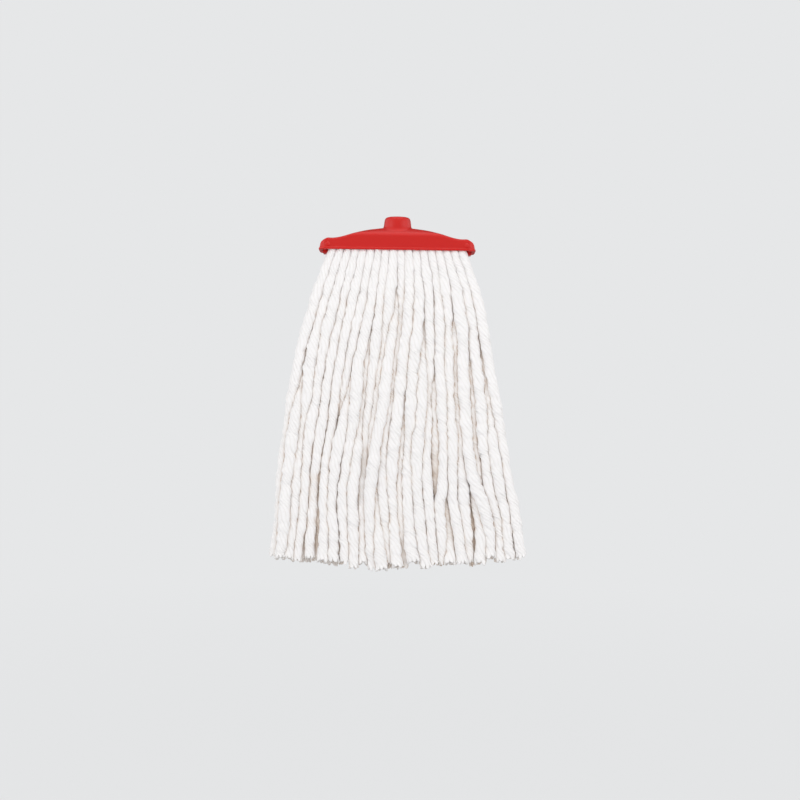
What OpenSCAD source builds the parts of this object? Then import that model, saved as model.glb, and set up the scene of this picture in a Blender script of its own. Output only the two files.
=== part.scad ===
// String mop head: a moulded plastic head with a round handle socket, and a thick skirt of doubled
// cotton strands that are folded over an inner bar and hang down on both sides of it.
// The handle axis is Z, the head runs along X, and the origin is the centre of the socket's mouth.

/* [Handle socket] */
// Outside diameter of the socket where it meets the head
socket_base_d = 28; // [26:0.5:34]
// Outside diameter of the socket just below its rounded rim
socket_top_d = 26.8; // [25.6:0.2:27.8]
// Radius of the socket's outer rim
rim_round = 2.9; // [1:0.1:2.9]
// Diameter of the blind hole for the handle
bore_d = 20.4; // [18:0.1:20.4]
// Depth of the blind hole below the mouth
bore_depth = 22; // [18:0.5:26]
// Plastic left under the blind hole
bore_floor = 2.5; // [1.5:0.1:4]

/* [Moulded head] */
// Length of the head over its end walls
head_length = 158; // [146:1:170]
// Depth of the head from its front wall to its back wall
head_depth = 38; // [37:0.5:46]
// Wall thickness of the head
wall = 3; // [2:0.1:3.4]
// Distance from the socket's mouth down to the crest of the roof
crest_drop = 9.8; // [7:0.2:12]
// Radius of the arched roof, seen from the front
arch_r = 130; // [116:1:144]
// Radius of the hollow flares between the arch and the ends
flare_r = 52; // [44:1:62]
// Radius of the round top corners of the ends
end_round = 10; // [8:0.5:11]
// Radius of the upright edges of the ends
corner_round = 5; // [4:0.5:7]
// Radius of the roof's crown, seen from the side
crown_r = 28; // [26:0.5:34]
// Radius of the shoulder between the roof and the front wall
shoulder_round = 5; // [4:0.5:6]
// Height of the ends from the lower rim to their top
end_height = 11.5; // [11:0.1:16]
// Height of the bead along the lower rim
bead_height = 2.2; // [1:0.2:4]
// How far the bead stands out from the walls
bead_proud = 0.8; // [0.4:0.1:1.6]
// Number of ribs inside the roof on each side of the socket
rib_count = 3; // [1:1:4]
// Thickness of these ribs
rib_thickness = 2; // [1:0.2:3]
// Distance between these ribs
rib_pitch = 15; // [10:0.5:15]

/* [Yarn bar and lock pins] */
// Width of the bar that the yarn is folded over
bar_width = 5; // [4:0.1:6]
// Height of the bar
bar_height = 3.2; // [2.6:0.1:3.2]
// Length of a lug at the bar's ends, along the head
lug_length = 8; // [6:0.2:8.4]
// Depth of a lug, from front to back
lug_depth = 14; // [10:1:15]
// Room between a lug and the end wall
lug_end_room = 0.4; // [0.4:0.1:2]
// Room between a lug and the roof over it
lug_clearance = 0.3; // [0.2:0.05:0.5]
// Thickness of the plate at a lug's outer side, which closes the end of the mouth
plate_thickness = 3; // [2:0.1:4]
// Distance from a lug's inner side to the middle of its lock pin
pin_inset = 2.8; // [2.6:0.1:4]
// Room between a lock pin's head and the bead below it
pin_room = 0.2; // [0.1:0.1:0.8]
// Diameter of a lock pin's shank
pin_d = 3.6; // [2.4:0.1:4]
// Diameter of a lock pin's round head
pin_head_d = 5; // [4.8:0.1:6]
// Height of a lock pin's round head
pin_head_height = 1; // [0.6:0.1:1.4]
// Room round a lock pin in its holes
pin_clearance = 0.15; // [0.1:0.05:0.3]

/* [Cotton strands] */
// Number of doubled strands in the outer layer
outer_count = 18; // [16:1:18]
// Diameter of a strand where it hangs free
strand_d = 9; // [6:0.1:9.4]
// Diameter of a strand pressed together at its fold
fold_d = 4.6; // [4.2:0.1:4.8]
// Room between strands, and between strands and the head
strand_gap = 0.3; // [0.2:0.05:0.4]
// Room between the outer layer's pressed folds and the walls
mouth_room = 2; // [1.2:0.1:2.4]
// Radius of the outer layer's turns inside the head
outer_bend = 5; // [3:0.1:6]
// Distance from the socket's mouth down to the strands' ends in the middle of the skirt
skirt_drop = 355; // [250:1:450]
// How much higher the skirt is cut at its two sides
side_rise = 14; // [0:1:30]
// Width of the skirt between the middles of its outermost strands' ends
skirt_width = 252; // [220:1:300]
// Depth of the skirt between the middles of the outer layer's ends
skirt_depth = 30; // [27:1:60]
// Distance below the rim over which the outer layer swells to this depth
belly_run = 16; // [10:1:20]
// Room between the two layers where the inner one comes forward at the ends
layer_room = 1; // [0.8:0.1:2]
// Share of the spread that comes close below the head
early_share = 0.31; // [0.2:0.01:0.4]
// Distance below the rim over which that early spread comes
early_run = 55; // [45:1:70]
// Height of the strands' slow waves at their ends
wave_height = 2; // [0:0.1:2.4]
// Length of these waves
wave_length = 150; // [100:5:250]
// How far the strands' ends are uneven, up and down
end_scatter = 4; // [0:0.5:8]
// How far the strands' ends are uneven, front to back
depth_scatter = 1; // [0:0.1:1.5]

/* [Hidden] */
$fn = 96;
fine = 256;
over = 1;
tube_sides = 8;
golden_step = 0.618034;
wave_step = 25;
fold_lead = 3;
inner_count = outer_count - 1;

half_length = head_length / 2;
half_depth = head_depth / 2;
bore_floor_z = -bore_depth - bore_floor;

// The arch, its flares and the round end corners, as seen from the front
corner_x = half_length - end_round;
flare_angle = asin(corner_x / (arch_r + flare_r));
arch_z = -crest_drop - arch_r;
flare_z = arch_z + (arch_r + flare_r) * cos(flare_angle);
end_top_z = flare_z - flare_r;
corner_z = end_top_z - end_round;
rim_z = end_top_z - end_height;

// The crown and the shoulders, as seen from the side
crown_z = -crest_drop - crown_r;
shoulder_y = half_depth - shoulder_round;
shoulder_reach = crown_r - shoulder_round;
shoulder_z = crown_z + sqrt(shoulder_reach ^ 2 - shoulder_y ^ 2);

// The lugs, the lock pins and the bar between them
lug_x = half_length - wall - lug_end_room - lug_length / 2;
plate_x = lug_x + (lug_length - plate_thickness) / 2;
pin_x = lug_x - lug_length / 2 + pin_inset;
pin_z = rim_z + bead_height + pin_room + pin_head_d / 2;

// The strands' places in the head, below its ends' roof and below the socket's floor
fold_top_z = min(end_top_z - wall, bore_floor_z) - strand_gap;
outer_x = lug_x - lug_length / 2 - strand_gap - fold_d / 2;
pitch = 2 * outer_x / (outer_count - 1);
nest = sqrt(max(0, (fold_d + strand_gap / 2) ^ 2 - (pitch / 2) ^ 2));
outer_fold_z = fold_top_z - fold_d / 2;
inner_fold_z = outer_fold_z - nest;
inner_half = bar_width / 2 + strand_gap / 2 + fold_d / 2;
outer_half = half_depth - wall - mouth_room - fold_d / 2;

// The inner layer's ends, which lie in the gaps of the outer layer and as far forward as it lets them
end_pitch = skirt_width / (outer_count - 1);
end_nest = sqrt(max(0, (strand_d + layer_room) ^ 2 - (end_pitch / 2) ^ 2));
inner_skirt_depth = skirt_depth - 2 * end_nest;

// The bar under the folds
bar_top_z = inner_fold_z - fold_d / 2 - strand_gap / 2;
bar_bottom_z = bar_top_z - bar_height;

plastic_red = "#CC2D28";
cotton_white = "#F4F2EE";

function two_digits(n) = n < 10 ? str("0", n) : str(n);
function strand_name(layer, n) = str(layer, "_strand_", two_digits(n));

// The head's outline from the front: arch, flares and round ends, with all walls moved in by inset
module front_outline(inset, bottom_z) {
    join_x = (arch_r - inset) * sin(flare_angle);
    intersection() {
        translate([0, arch_z]) circle(arch_r - inset, $fn = fine);
        translate([-join_x, bottom_z]) square([2 * join_x, -bottom_z]);
    }
    for (side = [0, 1]) mirror([side, 0]) {
        difference() {
            translate([join_x, bottom_z]) square([corner_x - join_x, -bottom_z - crest_drop]);
            translate([corner_x, flare_z]) circle(flare_r + inset, $fn = fine);
        }
        translate([corner_x, corner_z]) circle(end_round - inset);
        translate([corner_x, bottom_z]) square([end_round - inset, corner_z - bottom_z]);
    }
}

// The head's outline from the side: straight walls, round shoulders and a crowned roof
module side_outline(inset, bottom_z) {
    reach = shoulder_reach / (crown_r - inset);
    turn_y = shoulder_y / reach;
    turn_z = crown_z + (shoulder_z - crown_z) / reach;
    translate([-half_depth + inset, bottom_z]) square([head_depth - 2 * inset, shoulder_z - bottom_z]);
    intersection() {
        translate([0, crown_z]) circle(crown_r - inset, $fn = fine);
        translate([-turn_y, shoulder_z - over]) square([2 * turn_y, -shoulder_z]);
    }
    for (side = [-1, 1]) translate([side * shoulder_y, shoulder_z]) circle(shoulder_round - inset);
}

// The head's outline from above: a rectangle with round corners, grown or shrunk on all sides
module plan_outline(grow) {
    r = corner_round + grow;
    x = half_length - corner_round;
    y = half_depth - corner_round;
    square([2 * x, 2 * y + 2 * r], center = true);
    square([2 * x + 2 * r, 2 * y], center = true);
    for (i = [-1, 1], j = [-1, 1]) translate([i * x, j * y]) circle(r);
}

module head_form(inset, bottom_z) {
    intersection() {
        rotate([90, 0, 0]) linear_extrude(head_depth + 2 * over, center = true)
            front_outline(inset, bottom_z);
        rotate([90, 0, 90]) linear_extrude(head_length + 2 * over, center = true)
            side_outline(inset, bottom_z);
        translate([0, 0, bottom_z]) linear_extrude(-bottom_z) plan_outline(-inset);
    }
}

// The socket is turned: a slightly tapered post with a rounded rim, whose foot is a boss inside the head
module socket_form() {
    base_r = socket_base_d / 2;
    top_r = socket_top_d / 2;
    rotate_extrude() {
        polygon([
            [0, bore_floor_z], [base_r, bore_floor_z], [base_r, -crest_drop],
            [top_r, -rim_round], [top_r - rim_round, 0], [0, 0]
        ]);
        translate([top_r - rim_round, -rim_round]) circle(rim_round);
    }
}

// Room in the walls and lugs for the two lock pins
module pin_holes() {
    for (side = [-1, 1]) translate([side * pin_x, 0, pin_z]) rotate([90, 0, 0])
        cylinder(h = head_depth + 2 * over, d = pin_d + 2 * pin_clearance, center = true);
}

module roof_ribs() {
    first_x = socket_base_d / 2 + rib_pitch / 2;
    intersection() {
        head_form(wall / 2, fold_top_z + strand_gap);
        for (side = [-1, 1], i = [0:rib_count - 1])
            translate([side * (first_x + i * rib_pitch), 0, rim_z / 2])
                cube([rib_thickness, head_depth, -rim_z], center = true);
    }
}

// The one-piece moulding: walls, arched roof, rim bead, socket and inner ribs
module head_shell() color(plastic_red) difference() {
    union() {
        difference() {
            union() {
                head_form(0, rim_z);
                translate([0, 0, rim_z]) linear_extrude(bead_height) plan_outline(bead_proud);
            }
            head_form(wall, rim_z - over);
        }
        socket_form();
        roof_ribs();
    }
    translate([0, 0, -bore_depth]) cylinder(h = bore_depth + over, d = bore_d);
    pin_holes();
}

// The bar that the yarn hangs on. Each of its ends has a lug that a lock pin passes through, and a
// plate that closes the mouth between the front wall and the back wall.
module yarn_bar() color(plastic_red) difference() {
    union() {
        rotate([90, 0, 90]) linear_extrude(2 * lug_x, center = true) {
            translate([0, bar_top_z - bar_width / 2]) circle(d = bar_width);
            translate([-bar_width / 2, bar_bottom_z]) square([bar_width, bar_height - bar_width / 2]);
        }
        intersection() {
            head_form(wall + lug_clearance, bar_bottom_z);
            for (side = [-1, 1]) translate([side * lug_x, 0, bar_bottom_z / 2])
                cube([lug_length, lug_depth, -bar_bottom_z], center = true);
        }
        intersection() {
            head_form(wall + lug_clearance, rim_z);
            for (side = [-1, 1]) translate([side * plate_x, 0, rim_z / 2])
                cube([plate_thickness, head_depth, -rim_z], center = true);
        }
    }
    pin_holes();
}

// A lock pin: a straight shank with a low round head on each outer wall
module lock_pin(side) color(plastic_red) translate([side * pin_x, 0, pin_z]) rotate([90, 0, 0]) {
    dome_r = (pin_head_d ^ 2 / 4 + pin_head_height ^ 2) / (2 * pin_head_height);
    cylinder(h = head_depth, d = pin_d, center = true);
    for (end = [0, 1]) mirror([0, 0, end]) translate([0, 0, half_depth]) intersection() {
        translate([0, 0, pin_head_height - dome_r]) sphere(dome_r);
        cylinder(h = dome_r, d = pin_head_d + over);
    }
}

// The run of a strand below the rim, from its depth h: how far the skirt has spread in width and in
// depth, from 0 to 1. The outer layer bulges just below the head, the inner one comes forward lower down.
function ease(t) = let (c = min(1, max(0, t))) c * c * (3 - 2 * c);
function spread(h, full) = early_share * (1 - exp(-h / early_run)) + (1 - early_share) * h / full;
function part_of(v) = v - floor(v);
function depth_share(inner, h, full) = inner ? (h / full) ^ 2 : 1 - exp(-h / belly_run);
function scatter(n) = end_scatter * (2 * part_of(n * golden_step) - 1);
function tip_half(depth, n) = depth / 2 + depth_scatter / 2 * (2 * part_of(2 * n * golden_step) - 1);

// Middle of a hanging leg at depth h below the rim, for a strand that leaves the head at x
function leg_full(x) = skirt_drop + rim_z - side_rise * (x / outer_x) ^ 2;
function leg_scale(h, full) = 1 + (skirt_width / 2 / outer_x - 1) * spread(h, full);
function leg_point(x, half, tip, side, n, inner, h) =
    let (full = leg_full(x), swing = wave_height * ease(h / full))
    let (turn = 360 * h / wave_length + wave_step * n)
    [
        x * leg_scale(h, full) + swing * sin(turn),
        side * (half + (tip - half) * depth_share(inner, h, full)) + swing / 2 * cos(turn),
        rim_z - h
    ];
// A leg swells from its pressed fold to its free size as the strands draw apart
function leg_radius(x, h) =
    let (full = leg_full(x), step = 1, run = leg_scale(h + step, full) - leg_scale(max(0, h), full))
    let (lean = atan(abs(x) * run / step))
    let (open = min(strand_d, pitch * leg_scale(max(0, h), full) * cos(lean) - strand_gap))
    (fold_d + (open - fold_d) * ease((h + fold_lead) / (2 * fold_lead))) / 2;

// Depths below the rim at which a leg has a ring, closest where it swells and bends most
leg_shares = [0.024, 0.05, 0.11, 0.2, 0.33, 0.47, 0.62, 0.79, 1];
fold_turns = [0, 30, 60, 90];

// Middles and radii of all rings of a doubled strand, from its front end over the bar to its back end
function strand_rings(x, half, bend, top_z, tip, n, inner) =
    let (full = leg_full(x) + scatter(n))
    let (leg = [for (side = [-1, 1]) [for (share = leg_shares) [
        leg_point(x, half, tip, side, n, inner, share * full), leg_radius(x, share * full)]]])
    let (bow = [for (side = [-1, 1]) [for (turn = fold_turns) [
        [x, side * (half - bend + bend * cos(turn)), top_z - bend + bend * sin(turn)], fold_d / 2]]])
    concat(
        [for (i = [len(leg_shares) - 1:-1:0]) leg[0][i]],
        bow[0],
        [for (i = [len(fold_turns) - 1:-1:0]) bow[1][i]],
        leg[1]
    );

// A tube through the given rings, whose flats keep facing the same way along X
module tube(rings) {
    last = len(rings) - 1;
    sides = tube_sides;
    points = [for (i = [0:last])
        let (run = rings[min(last, i + 1)][0] - rings[max(0, i - 1)][0])
        let (ahead = run / norm(run), across = cross([1, 0, 0], ahead), up = across / norm(across))
        let (right = cross(ahead, up))
        for (k = [0:sides - 1])
            rings[i][0] + rings[i][1] * (cos(360 * k / sides) * right + sin(360 * k / sides) * up)];
    skin = [for (i = [0:last - 1], k = [0:sides - 1])
        let (a = i * sides + k, b = i * sides + (k + 1) % sides)
        each [[a, a + sides, b], [b, a + sides, b + sides]]];
    tip = last * sides;
    caps = [for (k = [1:sides - 2]) each [[0, k, k + 1], [tip, tip + k + 1, tip + k]]];
    polyhedron(points, concat(skin, caps));
}

module outer_strand(n) color(cotton_white) tube(strand_rings(
    -outer_x + (n - 1) * pitch, outer_half, outer_bend, outer_fold_z,
    tip_half(skirt_depth, n), n, false));

module inner_strand(n) color(cotton_white) tube(strand_rings(
    -outer_x + (n - 0.5) * pitch, inner_half, inner_half, inner_fold_z,
    tip_half(inner_skirt_depth, n), n + 0.5, true));

head_shell();
yarn_bar();
lock_pin(-1);  // left_lock_pin
lock_pin(1);  // right_lock_pin
for (n = [1:outer_count])
    outer_strand(n);
for (n = [1:inner_count])
    inner_strand(n);
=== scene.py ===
import math
import random

import bmesh
import bpy
import numpy as np
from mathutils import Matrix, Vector


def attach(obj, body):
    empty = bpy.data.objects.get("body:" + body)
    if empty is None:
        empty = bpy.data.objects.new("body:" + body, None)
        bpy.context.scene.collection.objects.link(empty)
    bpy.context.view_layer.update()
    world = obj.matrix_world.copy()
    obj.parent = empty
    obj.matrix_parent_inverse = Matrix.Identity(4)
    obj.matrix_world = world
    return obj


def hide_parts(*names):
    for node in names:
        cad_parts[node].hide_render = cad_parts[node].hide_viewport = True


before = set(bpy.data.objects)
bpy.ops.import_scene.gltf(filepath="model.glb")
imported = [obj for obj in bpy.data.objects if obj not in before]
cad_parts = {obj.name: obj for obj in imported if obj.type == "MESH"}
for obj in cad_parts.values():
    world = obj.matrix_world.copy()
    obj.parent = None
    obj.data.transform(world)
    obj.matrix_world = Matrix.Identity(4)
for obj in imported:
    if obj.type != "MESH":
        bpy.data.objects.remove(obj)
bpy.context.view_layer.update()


# Moulded head: one piece of red polypropylene, with an arched and crowned roof, walls 3 mm thick,
# a bead along the lower rim and a round socket on top that the handle is pushed into.
# It is injection moulded, so all its edges are round and the socket runs out into the roof.
MM = 0.001
HALF_LENGTH, HALF_DEPTH, WALL = 79.0, 19.0, 3.0
CREST_Z, END_HEIGHT = -9.8, 11.5
ARCH_R, FLARE_R, END_R, PLAN_R = 130.0, 52.0, 10.0, 7.0
CROWN_R, SHOULDER_R, EDGE_R = 24.0, 5.0, 2.2
CREASE_BLEND = 2.0
LIP_X, LIP_HEIGHT, LIP_WIDTH = 70.3, 0.7, 2.2
FLARE_TURN = math.asin((HALF_LENGTH - END_R) / (ARCH_R + FLARE_R))
END_TOP_Z = CREST_Z - (ARCH_R + FLARE_R) * (1 - math.cos(FLARE_TURN))
RIM_Z = END_TOP_Z - END_HEIGHT
ROOF_X = (0, 8.5, 17, 26, 35, 43, 50, 57, 63, 67.5, 70.5, 73, 75.5, 77.4, 78.6, 79)
ROOF_Y = (0, 6, 12, 16.5, 17.7, 18.6, 19)
BEAD_TOP_Z = RIM_Z + 2.2
SOCKET_SIDES, SOCKET_FOOT_R = 16, 15.9
BORE_R, BORE_FLOOR_Z = 10.2, -22.0
BOSS_R, BOSS_FLOOR_Z = 14.0, -24.5
SINK_MARKS = ((-48.6, -24.0), (41.5, -24.3))
SINK_R, SINK_DEPTH, FRONT_SHARE = 3.4, 0.3, 0.9
RIB_X, RIB_THICKNESS, RIB_FOOT_Z, RIB_SUNK, RIB_STEPS = (21.5, 36.5, 51.5), 2.0, -26.385, 2.1, 10


def arch_height(x):
    x = abs(x)
    corner_x = HALF_LENGTH - END_R
    join_x = ARCH_R * corner_x / (ARCH_R + FLARE_R)
    if x < join_x:
        return CREST_Z - ARCH_R + math.sqrt(ARCH_R ** 2 - x ** 2)
    lip = LIP_HEIGHT * math.exp(-((x - LIP_X) / LIP_WIDTH) ** 2)
    if x < corner_x:
        return END_TOP_Z + FLARE_R - math.sqrt(FLARE_R ** 2 - (corner_x - x) ** 2) + lip
    return END_TOP_Z - END_R + math.sqrt(max(0.0, END_R ** 2 - (x - corner_x) ** 2)) + lip


def crown_height(y):
    y = abs(y)
    shoulder_y = HALF_DEPTH - SHOULDER_R
    crown_z = CREST_Z - CROWN_R
    shoulder_z = crown_z + math.sqrt((CROWN_R - SHOULDER_R) ** 2 - shoulder_y ** 2)
    if y < shoulder_y * CROWN_R / (CROWN_R - SHOULDER_R):
        return crown_z + math.sqrt(CROWN_R ** 2 - y ** 2)
    return shoulder_z + math.sqrt(max(0.0, SHOULDER_R ** 2 - (y - shoulder_y) ** 2))


def roof_height(x, y):
    past_edge = max(0.0, abs(y) - HALF_DEPTH + EDGE_R)
    arch = arch_height(x) - EDGE_R + math.sqrt(max(0.0, EDGE_R ** 2 - past_edge ** 2))
    crown = crown_height(y)
    blend = max(CREASE_BLEND - abs(arch - crown), 0.0) / CREASE_BLEND
    return min(arch, crown) - blend ** 2 * CREASE_BLEND / 4


def round_plan(x, y):
    corner_x, corner_y = HALF_LENGTH - PLAN_R, HALF_DEPTH - PLAN_R
    if abs(x) <= corner_x or abs(y) <= corner_y:
        return x, y
    a, b = (abs(x) - corner_x) / PLAN_R, (abs(y) - corner_y) / PLAN_R
    out_x = corner_x + PLAN_R * a * math.sqrt(1 - b * b / 2)
    out_y = corner_y + PLAN_R * b * math.sqrt(1 - a * a / 2)
    return math.copysign(out_x, x), math.copysign(out_y, y)


def roof_sheet(mesh, inset):
    lines_x = [-v for v in ROOF_X[:0:-1]] + list(ROOF_X)
    lines_y = [-v for v in ROOF_Y[:0:-1]] + list(ROOF_Y)
    steps_x, steps_y = len(lines_x) - 1, len(lines_y) - 1
    sheet = bmesh.ops.create_grid(mesh, x_segments=steps_x, y_segments=steps_y, size=1)["verts"]
    hole, foot = [], set()
    for vert in sheet:
        i = round((vert.co.x + 1) / 2 * steps_x)
        j = round((vert.co.y + 1) / 2 * steps_y)
        x, y = round_plan(lines_x[i], lines_y[j])
        across, along = abs(i - steps_x // 2), abs(j - steps_y // 2)
        if max(across, along) < 2:
            hole.append(vert)
        elif max(across, along) == 2:
            turn = math.atan2(j - steps_y // 2, i - steps_x // 2)
            x, y = SOCKET_FOOT_R * math.cos(turn), SOCKET_FOOT_R * math.sin(turn)
            foot.add(vert)
        z = roof_height(x, y) - inset
        vert.co = (x * (1 - inset / HALF_LENGTH), y * (1 - inset / HALF_DEPTH), z)
    bmesh.ops.delete(mesh, geom=hole, context="VERTS")
    edges = dict.fromkeys(e for v in sheet if v.is_valid for e in v.link_edges if e.is_boundary)
    ring = [e for e in edges if foot.issuperset(e.verts)]
    return ring, [e for e in edges if not foot.issuperset(e.verts)]


def next_loop(mesh, loop, place):
    made = bmesh.ops.extrude_edge_only(mesh, edges=loop)["geom"]
    for vert in (g for g in made if isinstance(g, bmesh.types.BMVert)):
        vert.co = place(vert.co)
    verts = {g for g in made if isinstance(g, bmesh.types.BMVert)}
    return [g for g in made if isinstance(g, bmesh.types.BMEdge) and set(g.verts) <= verts]


# Rounding draws a ring of so many sides in, so the ring is made wider by as much
def ring_place(radius, z, on_roof=False):
    widen = 3 / (2 + math.cos(2 * math.pi / SOCKET_SIDES))

    def place(co):
        turn = math.atan2(co.y, co.x)
        x, y = radius * math.cos(turn), radius * math.sin(turn)
        return Vector((x * widen, y * widen, z + (roof_height(x, y) if on_roof else 0.0)))
    return place


def wall_place(out, z=None):
    corner_x, corner_y = HALF_LENGTH - PLAN_R, HALF_DEPTH - PLAN_R

    def place(co):
        near = Vector((max(-corner_x, min(corner_x, co.x)), max(-corner_y, min(corner_y, co.y))))
        outward = (co.xy - near).normalized()
        x, y = near + outward * (PLAN_R + out)
        return Vector((x, y, (co.z + BEAD_TOP_Z) / 2 if z is None else z))
    return place


# The socket as rings of a radius and a height: its foot, as a rise above the roof, then up the outside,
# over the rounded mouth and down the bore. The wall as loops of how far each stands out and its height:
# halfway down first, then over the bead, under the rim and up inside. The boss holds the bore's floor.
FOOT_RINGS = ((14.9, 0.35), (14.25, 1.5))
SOCKET_RINGS = (
    (13.95, -6.6), (13.6, -4.2), (13.35, -2.3), (12.6, -0.75), (11.3, 0.0), (10.6, 0.0),
    (BORE_R, -0.5), (BORE_R, BORE_FLOOR_Z / 2), (BORE_R, BORE_FLOOR_Z + 0.4),
    (BORE_R - 0.5, BORE_FLOOR_Z), (4.0, BORE_FLOOR_Z),
)
WALL_LOOPS = (
    (0.0, None), (0.0, BEAD_TOP_Z + 0.35),
    (0.2, BEAD_TOP_Z), (0.75, BEAD_TOP_Z - 0.2), (0.9, RIM_Z + 1.1), (0.75, RIM_Z + 0.2),
    (0.3, RIM_Z), (0.4 - WALL, RIM_Z), (-WALL, RIM_Z + 0.4),
)
BOSS_RINGS = (
    (BOSS_R, -18.0), (BOSS_R, BOSS_FLOOR_Z + 0.5), (BOSS_R - 0.5, BOSS_FLOOR_Z), (6.0, BOSS_FLOOR_Z),
)
shell = bmesh.new()
socket_ring, eaves = roof_sheet(shell, 0.0)
for radius, rise in FOOT_RINGS:
    socket_ring = next_loop(shell, socket_ring, ring_place(radius, rise, on_roof=True))
for radius, z in SOCKET_RINGS:
    socket_ring = next_loop(shell, socket_ring, ring_place(radius, z))
bmesh.ops.contextual_create(shell, geom=socket_ring)
for out, z in WALL_LOOPS:
    eaves = next_loop(shell, eaves, wall_place(out, z))
boss_ring, ceiling = roof_sheet(shell, WALL)
bmesh.ops.bridge_loops(shell, edges=eaves + ceiling)
boss_ring = next_loop(shell, boss_ring, ring_place(BOSS_R + 0.4, -WALL - 0.5, on_roof=True))
for radius, z in BOSS_RINGS:
    boss_ring = next_loop(shell, boss_ring, ring_place(radius, z))
bmesh.ops.contextual_create(shell, geom=boss_ring)
bmesh.ops.recalc_face_normals(shell, faces=shell.faces)
for face in shell.faces:
    face.smooth = True
bmesh.ops.scale(shell, vec=(MM, MM, MM), verts=shell.verts)
cage = bpy.data.meshes.new("head_shell_cage")
shell.to_mesh(cage)
shell.free()
cage_object = bpy.data.objects.new("head_shell_cage", cage)
bpy.context.scene.collection.objects.link(cage_object)
rounding = cage_object.modifiers.new("Rounding", "SUBSURF")
rounding.levels = rounding.render_levels = 2
bpy.context.view_layer.update()
rounded = cage_object.evaluated_get(bpy.context.evaluated_depsgraph_get())
head_mesh = bpy.data.meshes.new_from_object(rounded)
bpy.data.objects.remove(cage_object)
detail = bmesh.new()
detail.from_mesh(head_mesh)
for vert in detail.verts:
    if vert.co.y < -FRONT_SHARE * HALF_DEPTH * MM and vert.normal.y < -FRONT_SHARE:
        for x, z in SINK_MARKS:
            off = math.hypot(vert.co.x / MM - x, vert.co.z / MM - z) / SINK_R
            if off < 1:
                vert.co.y += SINK_DEPTH * MM * (1 - off * off) ** 2
for x in RIB_X:
    for side in (-1, 1):
        sheet = bmesh.ops.create_grid(detail, x_segments=1, y_segments=RIB_STEPS, size=1)["verts"]
        for vert in sheet:
            y = vert.co.y * (HALF_DEPTH - WALL / 2)
            top_z = roof_height(x + RIB_THICKNESS / 2, y) - RIB_SUNK
            vert.co = Vector((side * x + vert.co.x * RIB_THICKNESS / 2, y, top_z)) * MM
        rib = list({face for vert in sheet for face in vert.link_faces})
        drawn = bmesh.ops.extrude_face_region(detail, geom=rib)["geom"]
        for vert in (g for g in drawn if isinstance(g, bmesh.types.BMVert)):
            vert.co.z = RIB_FOOT_Z * MM
        rib = {face for vert in sheet for face in vert.link_faces}
        rib |= {g for g in drawn if isinstance(g, bmesh.types.BMFace)}
        bmesh.ops.recalc_face_normals(detail, faces=list(rib))
detail.to_mesh(head_mesh)
detail.free()
head_mesh.name = "head_shell_moulding"
head = bpy.data.objects.new("head_shell_moulding", head_mesh)
bpy.context.scene.collection.objects.link(head)


def linear(hex_colour):
    parts = [int(hex_colour[i:i + 2], 16) / 255 for i in (1, 3, 5)]
    return [c / 12.92 if c <= 0.04045 else ((c + 0.055) / 1.055) ** 2.4 for c in parts] + [1.0]


def add_node(tree, kind, settings=(), links=()):
    node = tree.nodes.new(kind)
    for name, value in dict(settings).items():
        if isinstance(name, str) and hasattr(node, name):
            setattr(node, name, value)
        else:
            node.inputs[name].default_value = value
    for name, source in dict(links).items():
        tree.links.new(source, node.inputs[name])
    return node


# Polypropylene from a steel mould: an even, saturated red with a soft gloss and a very fine eroded
# texture. The texture's real grain is under 0.2 mm; it is drawn at 0.7 mm so that it shows.
FLOW_MM, GRAIN_MM = 30.0, 0.7
red_pp = bpy.data.materials.new("red_polypropylene_moulded")
red_pp.use_nodes = True
tree = red_pp.node_tree
tree.nodes.clear()
place = add_node(tree, "ShaderNodeTexCoord").outputs["Object"]
flow = add_node(tree, "ShaderNodeTexNoise", {"Scale": 1 / (FLOW_MM * MM), "Detail": 2.0}, {"Vector": place})
tint = add_node(tree, "ShaderNodeMix",
                {"data_type": "RGBA", 6: linear("#CB150E"), 7: linear("#D01911")},
                {0: flow.outputs["Fac"]})
grain = add_node(tree, "ShaderNodeTexNoise", {"Scale": 1 / (GRAIN_MM * MM), "Detail": 1.0}, {"Vector": place})
gloss = add_node(tree, "ShaderNodeMapRange", {"To Min": 0.26, "To Max": 0.36},
                 {"Value": grain.outputs["Fac"]})
relief = add_node(tree, "ShaderNodeBump", {"Strength": 0.12, "Distance": 0.0001},
                  {"Height": grain.outputs["Fac"]})
plastic = add_node(tree, "ShaderNodeBsdfPrincipled", {"IOR": 1.49, "Specular IOR Level": 0.4},
                   {"Base Color": tint.outputs[2], "Roughness": gloss.outputs["Result"],
                    "Normal": relief.outputs["Normal"]})
add_node(tree, "ShaderNodeOutputMaterial", {}, {"Surface": plastic.outputs["BSDF"]})
head.data.materials.append(red_pp)
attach(head, "root")
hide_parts("head_shell")


# Yarn bar and lock pins: the bar that the cotton is folded over, with a lug at each end, and the two
# pins that lock its lugs in the head. All three are moulded in the same red polypropylene.
for name in ("yarn_bar", "left_lock_pin", "right_lock_pin"):
    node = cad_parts[name]
    node.data.materials.clear()
    node.data.materials.append(red_pp)


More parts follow.
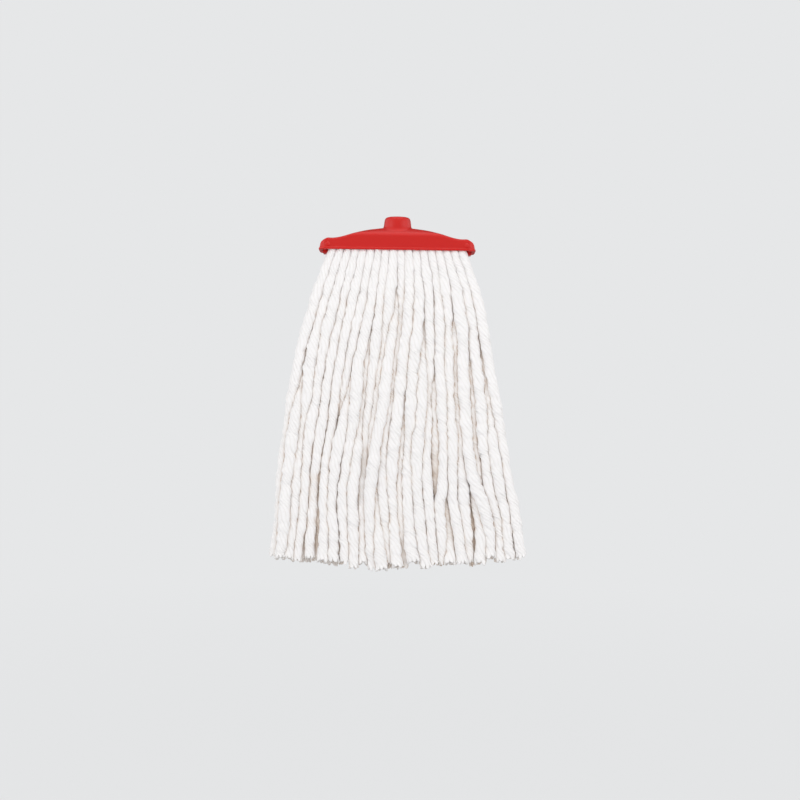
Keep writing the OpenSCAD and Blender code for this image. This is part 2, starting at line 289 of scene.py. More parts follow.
# Cotton strands: thick soft yarn of nine threads in an S lay, cut to length, each folded over the bar
# so that one half hangs in front of it and one half behind. The pressed folds sit inside the head and
# each half swells to its full thickness at the rim. The ends are cut and loosen into their threads.
OUTER_COUNT, INNER_COUNT = 18, 17
STRAND_D, FOLD_D, SQUEEZE = 11.8, 4.6, 2.4
THICK_RANGE = (0.9, 1.14)
BAR_BELOW, SWELL_RUN = 2.0, 10.0
SLIM_FROM, SLIM_RUN, SLIM = 130.0, 150.0, 0.05
OUTER_X, OUTER_HALF, INNER_HALF = 65.0, 11.7, 4.95
OUTER_BEND, OUTER_FOLD_Z, INNER_FOLD_Z = 5.0, -28.99, -31.81
SKIRT_DROP, SIDE_RISE, SKIRT_WIDTH = 351.2, 7.6, 252.0
FRONT_Y, BELLY_RUN, NEST_Y, NEST_RUN = 13.4, 3.0, 7.6, 25.0
EARLY_SHARE, EARLY_RUN = 0.31, 55.0
END_SCATTER, CUT_SLOPE, EVEN_CUT, EVEN_SHARE = 4.4, 0.02, 0.9, 0.2
PITCH = 2 * OUTER_X / (OUTER_COUNT - 1)
THREADS, THREAD_POINTS, LAY_LENGTH, GROOVE = 9, 5, 52.0, 0.075
SLICE_STEP, FINE_STEP, RING_STEP = 5.0, 2.5, 2.2
draw = random.Random(7)


def ease(t):
    t = min(1.0, max(0.0, t))
    return t * t * (3 - 2 * t)


def leg_full(x):
    return SKIRT_DROP + RIM_Z - SIDE_RISE * (x / OUTER_X) ** 2


def leg_scale(h, full):
    spread = EARLY_SHARE * (1 - math.exp(-h / EARLY_RUN)) + (1 - EARLY_SHARE) * h / full
    return 1 + (SKIRT_WIDTH / 2 / OUTER_X - 1) * spread


def leg_point(leg, h):
    if leg["layer"] == "outer":
        y = OUTER_HALF + (FRONT_Y - OUTER_HALF) * (1 - math.exp(-h / BELLY_RUN))
    else:
        y = INNER_HALF + (NEST_Y - INNER_HALF) * ease(h / NEST_RUN)
    return leg["x"] * leg_scale(h, leg_full(leg["x"])), leg["side"] * y


def leg_radius(leg, h):
    full = leg_full(leg["x"])
    lean = math.atan(abs(leg["x"]) * (leg_scale(h + 1, full) - leg_scale(h, full)))
    crowded = PITCH * leg_scale(h, full) * math.cos(lean) + SQUEEZE
    free = min(STRAND_D * leg["thick"] * (1 - SLIM * ease((h - SLIM_FROM) / SLIM_RUN)), crowded) / 2
    if leg["layer"] == "outer":
        return free
    return FOLD_D / 2 + (free - FOLD_D / 2) * ease((h - BAR_BELOW) / SWELL_RUN)


strands = []
for layer, count, half, bend, top_z, shift in (
    ("outer", OUTER_COUNT, OUTER_HALF, OUTER_BEND, OUTER_FOLD_Z, 0.0),
    ("inner", INNER_COUNT, INNER_HALF, INNER_HALF, INNER_FOLD_Z, 0.5),
):
    for number in range(1, count + 1):
        order = number + shift
        x = -OUTER_X + (order - 1) * PITCH
        strands.append({"name": f"{layer}_strand_{number:02d}", "layer": layer, "x": x, "half": half,
                        "bend": bend, "top_z": top_z})
legs = [dict(strand, side=side, thick=draw.uniform(*THICK_RANGE)) for strand in strands for side in (-1, 1)]

# The yarn's lie: from a little below the head some inner legs work forward into the outer row. The row
# parts into groups of touching legs with a nested leg behind each gap between two groups. All ride over
# and under their neighbours, some pairs change places, and all lean and part more towards the cut ends.
FORWARD_SHARE, FORWARD_FROM, FORWARD_TO, FORWARD_RUN = 0.41, 15.0, 190.0, 70.0
TOUCH_STEP, STEP_RANGE, GAP, STRAY_Y = 8.7, (0.7, 1.3), 4.3, 2.4
LONG_WAVES = ((140, 260), (60, 110))
WANDER, WANDER_RUN, EDGE_SWAY, SWING, SWING_FROM, SWING_RUN = 1.8, 60.0, 0.25, 2.2, 110.0, 150.0
APART, APART_FROM, APART_RUN, EDGE_HELD = 3.2, 40.0, 220.0, 0.3
LOOSE_FROM, LOOSE_RUN, LOOSE_APART, LOOSE_OPEN = 190.0, 110.0, 0.7, 0.75
RIDE, RIDE_RUN = 3.0, 40.0
CROSS_SHARE, CROSS_AT, CROSS_RUN, CROSS_LIFT, CROSS_HUMP = 0.4, (170, 270), 150.0, 3.6, 45.0
LEAN, LEAN_START, LEAN_END, LEAN_RUN, HANG = -4.2, 50.0, 275.0, 60.0, 0.018
EDGE_ROOM = 5.0
depths = np.arange(0.0, SKIRT_DROP + RIM_Z + END_SCATTER + 2 * SLICE_STEP, SLICE_STEP)
target = np.array([[leg_point(leg, h) for h in depths] for leg in legs])
thick = np.array([[leg_radius(leg, h) for h in depths] for leg in legs])
leaning = np.array([LEAN * ease((h - LEAN_START) / LEAN_RUN) * ease((LEAN_END - h) / LEAN_RUN) + HANG * h
                    for h in depths])
half_width = np.array([OUTER_X * leg_scale(h, leg_full(OUTER_X)) + EDGE_ROOM for h in depths])


def eased(at, start, run):
    return np.array([ease((h - start) / run) for h in at])


def waves(at, lengths, shares):
    path = np.zeros(len(at))
    for (low, high), share in zip(lengths, shares):
        path += share * np.sin(2 * math.pi * at / draw.uniform(low, high) + draw.uniform(0, 2 * math.pi))
    return path


spread = eased(depths, FORWARD_FROM, FORWARD_TO + FORWARD_RUN)
swing = 1 + SWING * eased(depths, SWING_FROM, SWING_RUN)
loosening = eased(depths, LOOSE_FROM, LOOSE_RUN)
parting = APART * eased(depths, APART_FROM, APART_RUN) * (1 + LOOSE_APART * loosening)
riding = RIDE * eased(depths, 0, RIDE_RUN)
sides = []
for side in (-1, 1):
    row, nested = [], []
    for index, leg in enumerate(legs):
        if leg["side"] == side:
            kept = leg["layer"] == "outer" or draw.random() < FORWARD_SHARE
            (row if kept else nested).append((leg["x"], index))
    row.sort()
    nested.sort()
    gaps = []
    for nth in range(len(nested)):
        gap = int((nth + draw.random()) * (len(row) - 1) / len(nested))
        gaps.append(max(gap, gaps[-1] + 1 if gaps else 0))
    steps = [TOUCH_STEP * draw.uniform(*STEP_RANGE) + (GAP if nth in gaps else 0)
             for nth in range(len(row) - 1)]
    steps = [step * SKIRT_WIDTH / sum(steps) for step in steps] + [0]
    end_x = -SKIRT_WIDTH / 2
    sway = EDGE_SWAY * waves(depths, LONG_WAVES, (0.6, 0.4))
    for nth, (x, index) in enumerate(row):
        end_y = side * (FRONT_Y + draw.uniform(-STRAY_Y, STRAY_Y))
        forward = eased(depths, draw.uniform(FORWARD_FROM, FORWARD_TO), FORWARD_RUN)
        held = EDGE_HELD if nth in (0, len(row) - 1) else 1.0
        drift = WANDER * swing * sway + held * parting * waves(depths, LONG_WAVES, (0.6, 0.5))
        target[index, :, 0] += (end_x - x * SKIRT_WIDTH / 2 / OUTER_X) * spread
        target[index, :, 0] += leaning + drift * eased(depths, 0, WANDER_RUN)
        target[index, :, 1] += (end_y - target[index, :, 1]) * forward
        target[index, :, 1] += riding * waves(depths, LONG_WAVES, (0.6, 0.6))
        if nth in gaps:
            last = nth >= gaps[-1]
            sway = (EDGE_SWAY if last else 1.0) * waves(depths, LONG_WAVES, (0.6, 0.4))
        end_x += steps[nth]
    sides.append(([index for x, index in row], [index for x, index in nested]))
    for gap, (x, index) in zip(gaps, nested):
        behind = (target[row[gap][1], :, 0] + target[row[gap + 1][1], :, 0]) / 2
        target[index, :, 0] += leaning + (behind - target[index, :, 0] - leaning) * spread
        target[index, :, 1] += riding * waves(depths, LONG_WAVES, (0.4, 0.4))
    nth = 1
    while nth < len(row) - 2:
        if nth not in gaps and draw.random() < CROSS_SHARE:
            over, under, at = row[nth][1], row[nth + 1][1], draw.uniform(*CROSS_AT)
            passing = eased(depths, at - CROSS_RUN / 2, CROSS_RUN)
            between = (target[under, :, 0] - target[over, :, 0]) * passing
            lift = side * CROSS_LIFT * np.exp(-((depths - at) / CROSS_HUMP) ** 2) * draw.choice((-1, 1))
            target[over] += np.stack((between, lift), axis=1)
            target[under] -= np.stack((between, lift), axis=1)
            nth += 1
        nth += 1

# Legs that would pass through each other push apart, bend evenly, and close up sideways where the row
# would show a hole with no nested leg behind it. All stay within the skirt's sides.
SOFT_CONTACT, RELAX_TURNS, PUSH, RETURN = 0.72, 120, 0.3, 0.03
STRAIGHTER, STRAIGHTER_TURNS = 0.25, 3
COVER, CLOSE, BACKED_REACH, BACKED_CLOSE = 0.86, 0.2, 0.6, 0.3
lie = target.copy()
for turn in range(RELAX_TURNS):
    apart = lie[:, None] - lie[None]
    distance = np.sqrt((apart ** 2).sum(axis=3)) + 1e-6
    push = np.clip(SOFT_CONTACT * (thick[:, None] + thick[None]) - distance, 0, None)
    push[np.arange(len(legs)), np.arange(len(legs))] = 0
    lie += PUSH * (apart / distance[..., None] * push[..., None]).sum(axis=1)
    lie += RETURN * (target - lie)
    for straightening in range(STRAIGHTER_TURNS):
        lie[:, 1:-1] += STRAIGHTER * (lie[:, 2:] + lie[:, :-2] - 2 * lie[:, 1:-1])
    for row, nested in sides:
        order = np.array(row)[np.argsort(lie[row, :, 0], axis=0)]
        across = np.take_along_axis(lie[:, :, 0], order, axis=0)
        round_about = np.take_along_axis(thick, order, axis=0)
        open_width = np.diff(across, axis=0) - COVER * (round_about[1:] + round_about[:-1])
        middle = (across[1:] + across[:-1]) / 2
        off_middle = np.abs(lie[nested, None, :, 0] - middle[None])
        backed = (off_middle < BACKED_REACH * thick[nested, None]).any(axis=0)
        closing = np.where(backed, BACKED_CLOSE, 1.0) * (1 - LOOSE_OPEN * loosening)
        pull = CLOSE * np.clip(open_width, 0, None) * closing
        shift = np.pad(pull, ((0, 1), (0, 0))) - np.pad(pull, ((1, 0), (0, 0)))
        np.put_along_axis(lie[:, :, 0], order, across + shift, axis=0)
    room = half_width - thick
    lie[:, :, 0] = np.clip(lie[:, :, 0], leaning - room, leaning + room)
    lie[:, :1] = target[:, :1]

# A leg's length follows from where it ends, as the yarn is trimmed in one even curve
for leg, path in zip(legs, lie):
    end_x = (path[-1, 0] - leaning[-1]) * 2 * OUTER_X / SKIRT_WIDTH
    scatter = END_SCATTER * (1.0 if abs(end_x) < EVEN_CUT * OUTER_X else EVEN_SHARE)
    leg["length"] = leg_full(end_x) - CUT_SLOPE * end_x + draw.uniform(-scatter, scatter)

# Each leg is also kinked and lumpy by itself, finer than the slices above
WOBBLE, WOBBLE_RUN, WOBBLE_WAVES = 0.7, 20.0, ((8, 12), (16, 26), (40, 60))
LUMP_RUN, LUMP_WAVES = 30.0, ((8, 13), (22, 35), (60, 110))
slices = np.arange(0.0, depths[-1], FINE_STEP)
lie = np.stack([np.stack([np.interp(slices, depths, path[:, axis]) for axis in (0, 1)], axis=1)
                for path in lie])
thick = np.stack([np.interp(slices, depths, radius) for radius in thick])
for path, radius in zip(lie, thick):
    for axis in (0, 1):
        path[1:-1, axis] += STRAIGHTER * (path[2:, axis] + path[:-2, axis] - 2 * path[1:-1, axis])
        wobble = waves(slices, WOBBLE_WAVES, (0.25, 0.4, 0.4))
        path[:, axis] += WOBBLE * eased(slices, 0, WOBBLE_RUN) * wobble
    radius *= 1 + eased(slices, 0, LUMP_RUN) * waves(slices, LUMP_WAVES, (0.03, 0.03, 0.06))

# One thread is a round crest between two grooves. The profile is a ring of threads of radius 1 mm,
# which each strand's line draws along its route at its own thickness and turns by its lay.
GROOVE_EDGE = 1.5
profile_curve = bpy.data.curves.new("thread_profile", "CURVE")
profile_curve.dimensions = "2D"
profile_line = profile_curve.splines.new("POLY")
around = THREADS * THREAD_POINTS
profile_line.points.add(around - 1)
groove_depth = []
for i, point in enumerate(profile_line.points):
    turn = 2 * math.pi * i / around
    crest = math.sin(math.pi * (i % THREAD_POINTS) / THREAD_POINTS)
    radius = 1 - GROOVE * (1 - crest) ** GROOVE_EDGE
    groove_depth.append(1 - crest)
    point.co = (radius * MM * math.cos(turn), radius * MM * math.sin(turn), 0, 1)
profile_line.use_cyclic_u = True
profile = bpy.data.objects.new("thread_profile", profile_curve)
bpy.context.scene.collection.objects.link(profile)


# A strand's route goes up its front leg, over the bar in equal turns and down its back leg
FOLD_TURNS, FOLD_TURN, PRESSED_TURNS, FOLD_CLEAR = 6, math.radians(15), 4, 0.5


def strand_route(strand, front, back):
    route = []
    for leg, sign in ((front, -1), (back, 1)):
        path = lie[leg]
        hanging = [(path[k, 0], path[k, 1], RIM_Z - h, thick[leg, k]) for k, h in enumerate(slices)
                   if h < legs[leg]["length"] - FINE_STEP / 2]
        share = (legs[leg]["length"] - slices[len(hanging) - 1]) / FINE_STEP
        end = path[len(hanging) - 1] + share * (path[len(hanging)] - path[len(hanging) - 1])
        hanging.append((end[0], end[1], RIM_Z - legs[leg]["length"], thick[leg, len(hanging) - 1]))
        over = []
        for k in range(FOLD_TURNS + 1):
            turn = FOLD_TURN * k
            y = strand["half"] - strand["bend"] + strand["bend"] * math.cos(turn)
            z = strand["top_z"] - strand["bend"] + strand["bend"] * math.sin(turn)
            pressed = thick[leg, 0] + (FOLD_D / 2 - thick[leg, 0]) * ease(k / PRESSED_TURNS)
            over.append((strand["x"], sign * y, z, pressed))
        route.append(over[::-1] + [point for point in hanging if point[2] < over[0][2] - FOLD_CLEAR])
    return np.array(route[0][::-1] + route[1][1:])


def even_steps(route):
    length = np.concatenate(([0], np.cumsum(np.linalg.norm(np.diff(route[:, :3], axis=0), axis=1))))
    along = np.linspace(0, length[-1], int(length[-1] / RING_STEP) + 1)
    spaced = np.stack([np.interp(along, length, route[:, k]) for k in range(4)], axis=1)
    spaced[1:-1] += STRAIGHTER * (spaced[2:] + spaced[:-2] - 2 * spaced[1:-1])
    return along, spaced


# Each thread is thick and thin along its length, as waves of a length and a height
THREAD_RIPPLES, RIPPLE_RANGE, RIPPLE_START = ((34.0, 0.045), (13.0, 0.05), (6.0, 0.03)), (0.8, 1.2), 6.3


def uneven_threads(coords, along, rng):
    rings = coords.reshape(len(along), around, 3)
    middle = rings.mean(axis=1, keepdims=True)
    swell = np.ones((len(along), around))
    for thread in range(THREADS):
        points = slice(thread * THREAD_POINTS, (thread + 1) * THREAD_POINTS)
        for wave, high in THREAD_RIPPLES:
            phase = 2 * math.pi * along / (wave * rng.uniform(*RIPPLE_RANGE)) + rng.uniform(0, RIPPLE_START)
            swell[:, points] += high * np.sin(phase)[:, None]
    return (middle + (rings - middle) * swell[..., None]).reshape(-1, 3)


# Strands press flat where they lie against each other: they fill out squarely, more on one edge than on
# the other, swell to the rim, and stop where they meet. The cleft value is 1 where a strand touches
# another and 0 in the open. The sunk value grows towards the middle of the skirt's thickness. The material
# paints shade into the yarn's colour by both values.
CLEFT_REACH, CLEFT_FADE, CLEFT_TOP = 4.0, 70.0, 0.2
SQUARE, FULL, FULL_RANGE, FULL_RUN = 5.0, 0.6, 0.3, 20.0
FULL_WAVES = ((9, 14), (26, 40))
RIM_SWELL, RIM_RUN, MOST_PRESSED = 2.2, 9.0, 2.0
SUNK_FROM, SUNK_RUN, SUNK_EDGE, SUNK_END, SUNK_LEAST = 17.0, 6.0, 7.0, 12.0, 0.4


def edge_fullness(along):
    wide = FULL + draw.uniform(-FULL_RANGE, FULL_RANGE) + waves(along, FULL_WAVES, (0.4, 0.35))
    return np.repeat(np.clip(wide, 0, 1), around)


def press_flat(coords, front, back, fullness):
    at = np.clip((RIM_Z - coords[:, 2] / MM) / FINE_STEP, 0, len(slices) - 1.001)
    low = at.astype(int)
    part = at - low
    hanging = coords[:, 2] / MM < RIM_Z
    spots = coords[:, :2] / MM
    own = np.where(np.arange(len(coords)) < len(coords) / 2, front, back)

    def place(leg):
        middle = lie[leg, low] + part[:, None] * (lie[leg, low + 1] - lie[leg, low])
        return middle, thick[leg, low] + part * (thick[leg, low + 1] - thick[leg, low])

    own_middle, own_radius = place(own)
    others = [place(other) for other in range(len(legs)) if other not in (front, back)]
    outward = spots - own_middle
    turned = np.abs(outward) / (np.linalg.norm(outward, axis=1, keepdims=True) + 1e-6)
    squarer = (turned ** SQUARE).sum(axis=1) ** (-1 / SQUARE) - 1
    squarer *= np.where(outward[:, 0] < 0, fullness[0], fullness[1]) * eased(at * FINE_STEP, 0, FULL_RUN)
    spots = own_middle + outward * np.where(hanging, 1 + squarer, 1)[:, None]
    facing_out = np.clip(outward[:, 1] * np.sign(own_middle[:, 1]) / own_radius, 0, 1)
    swell = RIM_SWELL * np.clip(1 - at * FINE_STEP / RIM_RUN, 0, 1) * facing_out * np.sign(own_middle[:, 1])
    spots[:, 1] += np.where(hanging & (np.abs(own_middle[:, 1]) > (OUTER_HALF + INNER_HALF) / 2), swell, 0)
    for middle, radius in others:
        across = middle - own_middle
        apart = np.linalg.norm(across, axis=1) + 1e-6
        beyond = ((spots - own_middle) ** 2).sum(axis=1) - own_radius ** 2
        beyond -= ((spots - middle) ** 2).sum(axis=1) - radius ** 2
        back_off = np.where(hanging, np.clip(beyond / (2 * apart), 0, MOST_PRESSED), 0)
        spots = spots - (back_off / apart)[:, None] * across
    nearest = np.full(len(coords), np.inf)
    for middle, radius in others:
        nearest = np.minimum(nearest, np.linalg.norm(spots - middle, axis=1) - radius)
    h = at * FINE_STEP
    cleft = np.clip(1 - nearest / CLEFT_REACH, 0, 1) * np.clip(CLEFT_TOP + h / CLEFT_FADE, 0, 1)
    to_side = np.interp(h, depths, half_width) - np.abs(spots[:, 0] - np.interp(h, depths, leaning))
    sunk = np.clip((SUNK_FROM - np.abs(spots[:, 1])) / SUNK_RUN, 0, 1) * np.clip(h / CLEFT_FADE, 0, 1)
    to_end = legs[front]["length"] - h
    sunk *= np.clip(to_side / SUNK_EDGE - 1, 0, 1) * np.clip(to_end / SUNK_END, SUNK_LEAST, 1)
    return np.column_stack((spots * MM, coords[:, 2])), cleft, sunk


# A cut end splits into its threads, which reach out unevenly in two steps, thin down and splay a little
SPLAY_MOST, STUB_REACH, STUB_SLIM = 0.2, (0.4, 2.8), (0.72, 0.9)
TIP_REACH, TIP_SLIM = (0.4, 2.4), 0.5


def loosen_end(mesh, rim, rng):
    cap = bmesh.ops.contextual_create(mesh, geom=rim)["faces"][0]
    centre = cap.calc_center_median()
    before = [e.other_vert(v).co for v in cap.verts for e in v.link_edges if e not in set(cap.edges)]
    outward = (centre - sum(before, Vector()) / len(before)).normalized()
    place_round = {vert: vert.index % around for vert in cap.verts}
    threads = [[] for _ in range(THREADS)]
    for face in bmesh.ops.poke(mesh, faces=[cap])["faces"]:
        first, second = sorted(place_round[v] for v in face.verts if v in place_round)
        threads[(second if second - first > 1 else first) // THREAD_POINTS].append(face)
    for faces in threads:
        lean = rng.uniform(0.0, SPLAY_MOST)
        stub = (rng.uniform(*STUB_REACH), rng.uniform(*STUB_SLIM))
        tip = (rng.uniform(*TIP_REACH), TIP_SLIM)
        for reach, slim in (stub, tip):
            made = bmesh.ops.extrude_face_region(mesh, geom=faces)["geom"]
            bmesh.ops.delete(mesh, geom=[f for f in faces if f.is_valid], context="FACES_KEEP_BOUNDARY")
            verts = [g for g in made if isinstance(g, bmesh.types.BMVert)]
            faces = [g for g in made if isinstance(g, bmesh.types.BMFace)]
            middle = sum((v.co for v in verts), Vector()) / len(verts)
            splay = (middle - centre) * lean
            for vert in verts:
                vert.co = middle + (vert.co - middle) * slim + splay + outward * reach * MM


# Cotton, carded and spun soft: matt white with a faint sheen of loose fibre. Shade is painted into its
# colour:
# warmer and darker down in the lay, beside and where strands lie against each other, and deep in the skirt.
# Fibres are about 0.02 mm thick; they are drawn in bundles of 0.5 mm so that they show.
FIBRE_MM, FIBRE_RUN_MM, SLUB_MM, BREAK_MM = 0.5, 9.0, 25.0, 9.0
cotton = bpy.data.materials.new("white_cotton_yarn")
cotton.use_nodes = True
tree = cotton.node_tree
tree.nodes.clear()
straight = add_node(tree, "ShaderNodeAttribute", {"attribute_name": "straight_yarn"})
groove = add_node(tree, "ShaderNodeAttribute", {"attribute_name": "groove"})
cleft = add_node(tree, "ShaderNodeAttribute", {"attribute_name": "cleft"})
sunk = add_node(tree, "ShaderNodeAttribute", {"attribute_name": "sunk"})
drawn_out = add_node(tree, "ShaderNodeMapping",
                     {"Scale": (1 / FIBRE_MM, 1 / FIBRE_MM, 1 / FIBRE_RUN_MM)},
                     {"Vector": straight.outputs["Vector"]})
fibres = add_node(tree, "ShaderNodeTexNoise", {"Scale": 1.0, "Detail": 3.0, "Roughness": 0.6},
                  {"Vector": drawn_out.outputs["Vector"]})
slub = add_node(tree, "ShaderNodeTexNoise", {"Scale": 1 / SLUB_MM, "Detail": 2.0},
                {"Vector": straight.outputs["Vector"]})
bleached = add_node(tree, "ShaderNodeMix",
                    {"data_type": "RGBA", 6: linear("#F6F4F4"), 7: linear("#FAF8F8")},
                    {0: slub.outputs["Fac"]})
# Painted shade: a slightly darker tone down in the grooves of the lay
depth = add_node(tree, "ShaderNodeMath", {"operation": "POWER", 1: 2.0}, {0: groove.outputs["Fac"]})
shaded = add_node(tree, "ShaderNodeMix", {"data_type": "RGBA", 7: linear("#F3F0EE")},
                  {0: depth.outputs["Value"], 6: bleached.outputs[2]})
# Painted shade: warmer and darker beside other strands
beside = add_node(tree, "ShaderNodeMath", {"operation": "POWER", 1: 1.6}, {0: cleft.outputs["Fac"]})
painted_shade = add_node(tree, "ShaderNodeMix", {"data_type": "RGBA", 7: linear("#F1ECE8")},
                  {0: beside.outputs["Value"], 6: shaded.outputs[2]})
# Painted shadow: broken brown lines where strands touch, stronger down in the lay
breaks = add_node(tree, "ShaderNodeTexNoise", {"Scale": 1 / BREAK_MM, "Detail": 1.0},
                  {"Vector": straight.outputs["Vector"]})
breaks = add_node(tree, "ShaderNodeMapRange",
                  {"From Min": 0.47, "From Max": 0.62, "To Min": 0.0, "To Max": 0.75},
                  {"Value": breaks.outputs["Fac"]})
dashes = add_node(tree, "ShaderNodeMath", {"operation": "MULTIPLY_ADD", 1: 0.25},
                  {0: groove.outputs["Fac"], 2: breaks.outputs["Result"]})
touching = add_node(tree, "ShaderNodeMath", {"operation": "POWER", 1: 5.0}, {0: cleft.outputs["Fac"]})
touching = add_node(tree, "ShaderNodeMath", {"operation": "MULTIPLY"},
                    {0: touching.outputs["Value"], 1: dashes.outputs["Value"]})
painted_shade = add_node(tree, "ShaderNodeMix", {"data_type": "RGBA", 7: linear("#C9AF99")},
                  {0: touching.outputs["Value"], 6: painted_shade.outputs[2]})
# Painted shade: warmer and darker towards the middle of the skirt's thickness
painted_shade = add_node(tree, "ShaderNodeMix", {"data_type": "RGBA", 7: linear("#DFD0C2")},
                  {0: sunk.outputs["Fac"], 6: painted_shade.outputs[2]})
fluff = add_node(tree, "ShaderNodeBump", {"Strength": 0.5, "Distance": 0.0003},
                 {"Height": fibres.outputs["Fac"]})
yarn = add_node(tree, "ShaderNodeBsdfPrincipled",
                {"Roughness": 0.95, "IOR": 1.53, "Specular IOR Level": 0.2, "Sheen Weight": 0.1,
                 "Sheen Roughness": 0.6},
                {"Base Color": painted_shade.outputs[2], "Normal": fluff.outputs["Normal"]})
add_node(tree, "ShaderNodeOutputMaterial", {}, {"Surface": yarn.outputs["BSDF"]})

# The strands themselves: each line is swept, its threads are made uneven, it is pressed, and its two ends
# are loosened. The lay wanders a little along the yarn, and the yarn is looser towards its cuts.
OVERSIZE, FRAY, FRAY_RUN = 1.02, 0.06, 10.0
LAY_WAVES = ((60, 90), (20, 30))
APART_IN_PATTERN = 1000
for number, strand in enumerate(strands):
    along, spaced = even_steps(strand_route(strand, 2 * number, 2 * number + 1))
    line_data = bpy.data.curves.new(strand["name"], "CURVE")
    line_data.dimensions = "3D"
    line_data.twist_mode = "MINIMUM"
    line_data.bevel_mode = "OBJECT"
    line_data.bevel_object = profile
    line_data.use_fill_caps = False
    line = line_data.splines.new("POLY")
    line.points.add(len(spaced) - 1)
    start = draw.uniform(0, 2 * math.pi)
    lay = waves(along, LAY_WAVES, (0.5, 0.25))
    for point, at, extra, (x, y, z, radius) in zip(line.points, along, lay, spaced):
        loosened = FRAY * math.exp(-min(at, along[-1] - at) / FRAY_RUN)
        point.co = (x * MM, y * MM, z * MM, 1)
        point.radius = radius * (OVERSIZE + loosened)
        point.tilt = start - 2 * math.pi * at / LAY_LENGTH + extra
    line_object = bpy.data.objects.new(strand["name"] + "_line", line_data)
    bpy.context.scene.collection.objects.link(line_object)
    bpy.context.view_layer.update()
    swept = line_object.evaluated_get(bpy.context.evaluated_depsgraph_get())
    yarn_mesh = bpy.data.meshes.new_from_object(swept)
    bpy.data.objects.remove(line_object)
    yarn_mesh.name = strand["name"] + "_yarn"
    coords = np.empty(3 * len(yarn_mesh.vertices), dtype=np.float32)
    yarn_mesh.vertices.foreach_get("co", coords)
    coords = uneven_threads(coords, along, draw)
    fullness = [edge_fullness(along) for edge in range(2)]
    coords, beside, inward = press_flat(coords, 2 * number, 2 * number + 1, fullness)
    yarn_mesh.vertices.foreach_set("co", coords.astype(np.float32).ravel())
    turns = np.tile(np.arange(around) * 2 * math.pi / around, len(along))
    straightened = np.stack((STRAND_D / 2 * np.cos(turns), STRAND_D / 2 * np.sin(turns),
                             np.repeat(along, around) + APART_IN_PATTERN * number), axis=1)
    yarn_mesh.attributes.new("straight_yarn", "FLOAT_VECTOR", "POINT").data.foreach_set(
        "vector", straightened.astype(np.float32).ravel())
    # The groove, cleft and sunk values are where the material paints shade
    for name, values in (("groove", np.tile(groove_depth, len(along))), ("cleft", beside), ("sunk", inward)):
        yarn_mesh.attributes.new(name, "FLOAT", "POINT").data.foreach_set("value", values.astype(np.float32))
    tuft = bmesh.new()
    tuft.from_mesh(yarn_mesh)
    rims = [e for e in tuft.edges if e.is_boundary]
    for first in (True, False):
        loosen_end(tuft, [e for e in rims if (e.verts[0].index < around) == first], draw)
    bmesh.ops.recalc_face_normals(tuft, faces=tuft.faces)
    for face in tuft.faces:
        face.smooth = True
    tuft.to_mesh(yarn_mesh)
    tuft.free()
    piece = bpy.data.objects.new(strand["name"] + "_yarn", yarn_mesh)
    bpy.context.scene.collection.objects.link(piece)
    piece.data.materials.append(cotton)
    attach(piece, "root")
    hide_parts(strand["name"])
bpy.data.objects.remove(profile)


# Studio: a plain pale floor below the hanging mop head, an even pale surround, whose reflections come
# from the sides and the upper front, two softboxes at the front and a weak one above.
FLOOR_Z, FLOOR_HALF = -0.62, 3.0
PALE = "#E6E7E8"
floor_mesh = bmesh.new()
bmesh.ops.create_grid(floor_mesh, x_segments=4, y_segments=4, size=FLOOR_HALF)
bmesh.ops.translate(floor_mesh, vec=(0, 0, FLOOR_Z), verts=floor_mesh.verts)
floor_data = bpy.data.meshes.new("studio_floor")
floor_mesh.to_mesh(floor_data)
floor_mesh.free()
floor = bpy.data.objects.new("studio_floor", floor_data)
bpy.context.scene.collection.objects.link(floor)
card = bpy.data.materials.new("pale_studio_card")
card.use_nodes = True
tree = card.node_tree
tree.nodes.clear()
rays = add_node(tree, "ShaderNodeLightPath")
seen = add_node(tree, "ShaderNodeMath", {"operation": "MAXIMUM"},
                {0: rays.outputs["Is Camera Ray"], 1: rays.outputs["Is Glossy Ray"]})
seen = add_node(tree, "ShaderNodeMath", {"operation": "MAXIMUM"},
                {0: seen.outputs["Value"], 1: rays.outputs["Is Transmission Ray"]})
spot = add_node(tree, "ShaderNodeTexCoord").outputs["Object"]
away = add_node(tree, "ShaderNodeVectorMath", {"operation": "DISTANCE", 1: (0, 0, FLOOR_Z)}, {0: spot})
even = add_node(tree, "ShaderNodeMapRange",
                {"From Min": 0.4, "From Max": 1.6, "To Min": 0.85, "To Max": 1.0},
                {"Value": away.outputs["Value"]})
share = add_node(tree, "ShaderNodeMath", {"operation": "MULTIPLY"},
                 {0: seen.outputs["Value"], 1: even.outputs["Result"]})
matt = add_node(tree, "ShaderNodeBsdfDiffuse", {"Color": linear(PALE)})
level = add_node(tree, "ShaderNodeMapRange", {"To Min": 1.0, "To Max": 0.3},
                 {"Value": rays.outputs["Is Glossy Ray"]})
glow = add_node(tree, "ShaderNodeEmission", {"Color": linear(PALE)},
                {"Strength": level.outputs["Result"]})
both = add_node(tree, "ShaderNodeMixShader", {},
                {0: share.outputs["Value"], 1: matt.outputs["BSDF"], 2: glow.outputs["Emission"]})
add_node(tree, "ShaderNodeOutputMaterial", {}, {"Surface": both.outputs["Shader"]})
floor.data.materials.append(card)

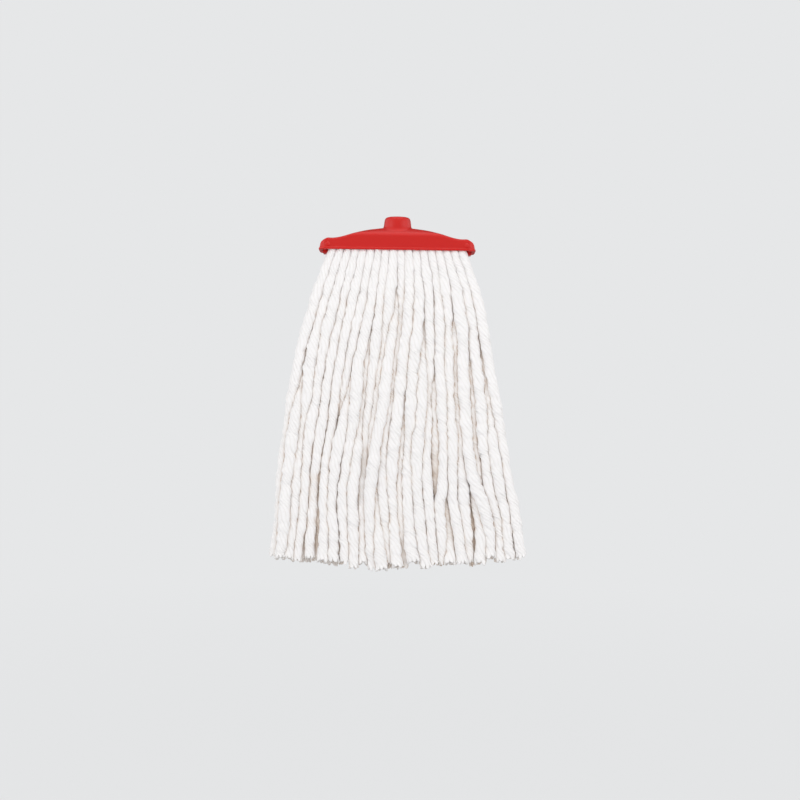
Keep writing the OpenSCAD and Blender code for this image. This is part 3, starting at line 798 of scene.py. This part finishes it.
surround = bpy.data.worlds.new("pale_surround")
surround.use_nodes = True
tree = surround.node_tree
tree.nodes.clear()
rays = add_node(tree, "ShaderNodeLightPath")
seen = add_node(tree, "ShaderNodeMath", {"operation": "MAXIMUM"},
                {0: rays.outputs["Is Camera Ray"], 1: rays.outputs["Is Glossy Ray"]})
seen = add_node(tree, "ShaderNodeMath", {"operation": "MAXIMUM"},
                {0: seen.outputs["Value"], 1: rays.outputs["Is Transmission Ray"]})
towards = add_node(tree, "ShaderNodeTexCoord").outputs["Generated"]
above = add_node(tree, "ShaderNodeVectorMath", {"operation": "DOT_PRODUCT", 1: (0, -0.35, 0.94)},
                 {0: towards})
above = add_node(tree, "ShaderNodeMapRange",
                 {"From Min": 0.65, "From Max": 0.95, "To Min": 0.0, "To Max": 2.2},
                 {"Value": above.outputs["Value"]})
parts = add_node(tree, "ShaderNodeSeparateXYZ", {}, {"Vector": towards})
beside = add_node(tree, "ShaderNodeMath", {"operation": "MULTIPLY"},
                  {0: parts.outputs["X"], 1: parts.outputs["X"]})
beside = add_node(tree, "ShaderNodeMapRange",
                  {"From Min": 0.3, "From Max": 0.9, "To Min": 0.15, "To Max": 1.9},
                  {"Value": beside.outputs["Value"]})
mirrored = add_node(tree, "ShaderNodeMath", {"operation": "ADD"},
                    {0: above.outputs["Result"], 1: beside.outputs["Result"]})
level = add_node(tree, "ShaderNodeMix", {"data_type": "FLOAT", 3: 1.0},
                 {0: rays.outputs["Is Camera Ray"], 2: mirrored.outputs["Value"]})
facing = add_node(tree, "ShaderNodeMath", {"operation": "MULTIPLY"},
                  {0: parts.outputs["Y"], 1: parts.outputs["Y"]})
facing = add_node(tree, "ShaderNodeMath", {"operation": "MULTIPLY_ADD", 1: 0.5, 2: 0.87},
                  {0: facing.outputs["Value"]})
facing = add_node(tree, "ShaderNodeMath", {"operation": "MULTIPLY_ADD", 1: -0.3},
                  {0: parts.outputs["Z"], 2: facing.outputs["Value"]})
ambient = add_node(tree, "ShaderNodeBackground", {"Color": (1, 1, 1, 1)},
                   {"Strength": facing.outputs["Value"]})
backdrop = add_node(tree, "ShaderNodeBackground", {"Color": linear(PALE)},
                    {"Strength": level.outputs[0]})
both = add_node(tree, "ShaderNodeMixShader", {},
                {0: seen.outputs["Value"], 1: ambient.outputs["Background"],
                 2: backdrop.outputs["Background"]})
add_node(tree, "ShaderNodeOutputWorld", {}, {"Surface": both.outputs["Shader"]})
bpy.context.scene.world = surround

AIM = Vector((0.0, 0.0, -0.18))
for name, spot, size, power in (
    ("softbox_left", (-1.03, -0.95, 0.2), 0.8, 2.2),
    ("softbox_right", (1.03, -0.95, 0.2), 0.8, 2.2),
    ("softbox_top", (0.0, -0.15, 1.1), 1.2, 0.3),
):
    lamp = bpy.data.lights.new(name, "AREA")
    lamp.shape, lamp.size, lamp.energy = "SQUARE", size, power
    lamp_object = bpy.data.objects.new(name, lamp)
    lamp_object.location = spot
    lamp_object.rotation_euler = (AIM - Vector(spot)).to_track_quat("-Z", "Y").to_euler()
    bpy.context.scene.collection.objects.link(lamp_object)

CAMERA_AT, CAMERA_ROLL = (0.005, -1.2, -0.1865), math.radians(-0.8)
lens = bpy.data.cameras.new("camera")
lens.sensor_width, lens.lens = 36.0, 52.65
camera = bpy.data.objects.new("camera", lens)
camera.location = CAMERA_AT
camera.rotation_euler = (math.radians(90), CAMERA_ROLL, 0)
bpy.context.scene.collection.objects.link(camera)
bpy.context.scene.camera = camera
bpy.context.scene.view_settings.view_transform = "Standard"
